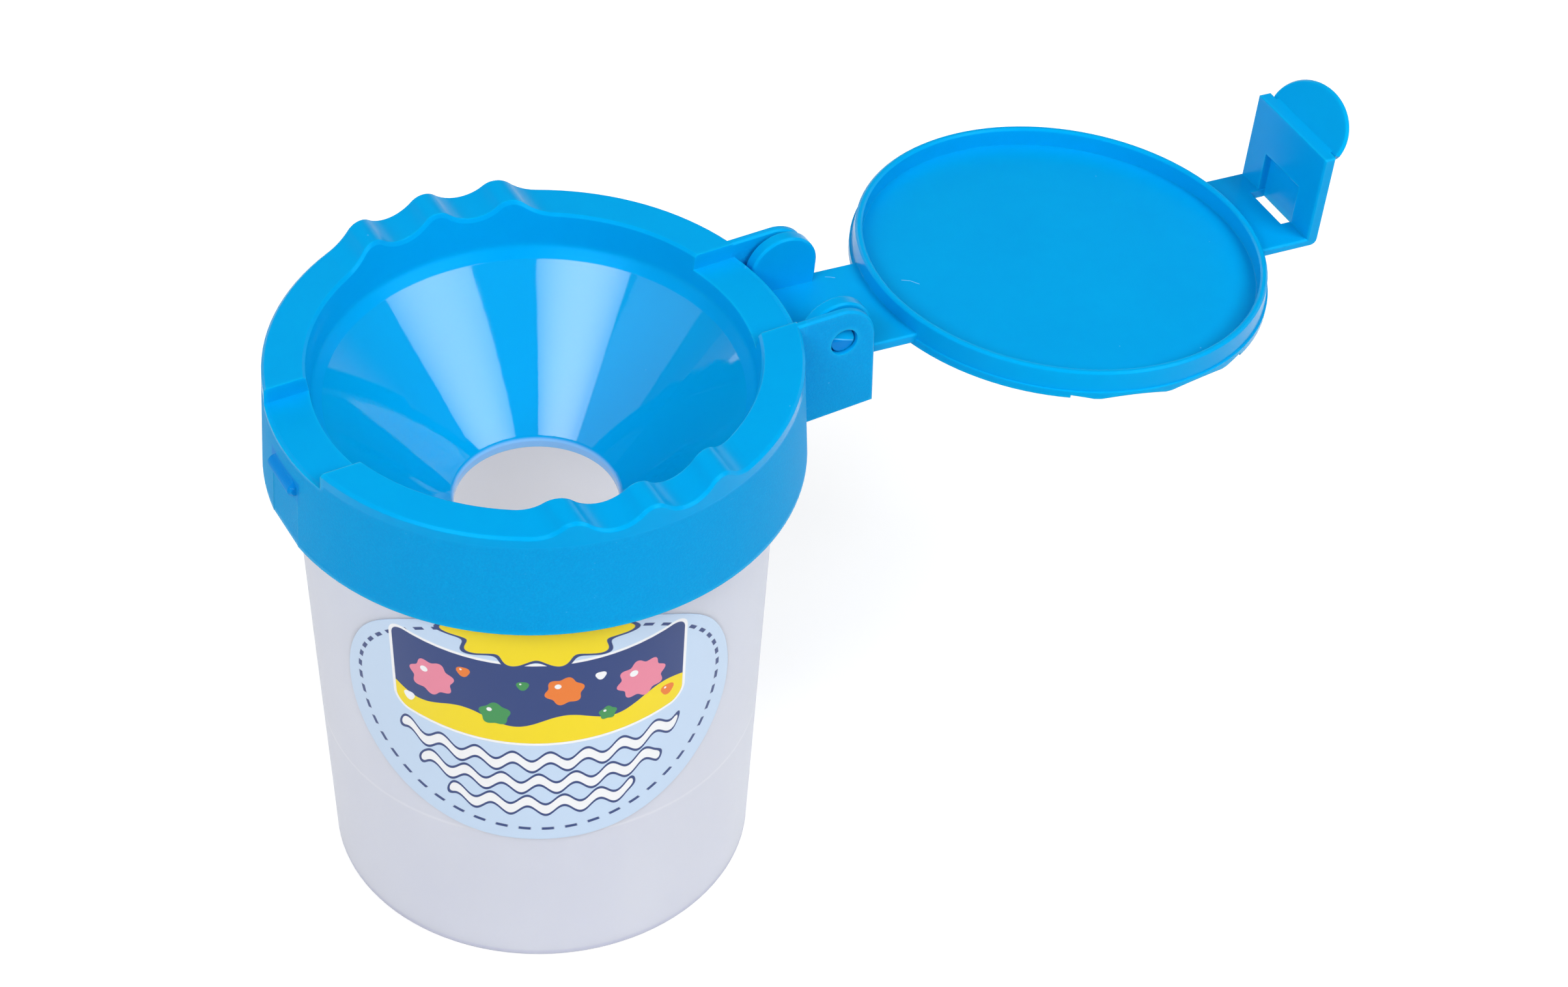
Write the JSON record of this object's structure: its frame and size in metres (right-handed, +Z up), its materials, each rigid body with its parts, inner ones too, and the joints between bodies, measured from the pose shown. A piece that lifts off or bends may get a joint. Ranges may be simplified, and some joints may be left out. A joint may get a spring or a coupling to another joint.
{
  "type": "brush washer with lid",
  "caption": "Round plastic brush washing cup with a press-on funnel cap, brush rests on its rim and a hinged snap lid, shown open.",
  "frame": {"origin": "centre of the cup's base, on the surface that it stands on", "axes": "+Z up along the cup's axis, +X from the cup's axis towards the hinge and the opened lid, +Y to the left of that"},
  "size_m": [0.1814, 0.0812, 0.0971],
  "materials": {
    "cup_plastic": "milky translucent polypropylene, satin",
    "blue_plastic": "semi-gloss outside and in the funnel, finely grained skirt",
    "label_print": "thin printed film, semi-gloss"
  },
  "bodies": {
    "cup": {"cup": "cup_plastic", "label": "label_print"},
    "cap": {"funnel_cap": "blue_plastic"},
    "lid": {"lid": "blue_plastic"}
  },
  "joints": [
    {"name": "cap_lift", "type": "slide", "parent": "cup", "child": "cap", "axis": [0, 0, 1], "range_m": [0, 0.045]},
    {"name": "lid_hinge", "type": "hinge", "parent": "cap", "child": "lid", "pos_m": [0.0457, 0, 0.0891], "axis": [0, -1, 0], "range_deg": [0, 185.7]}
  ]
}
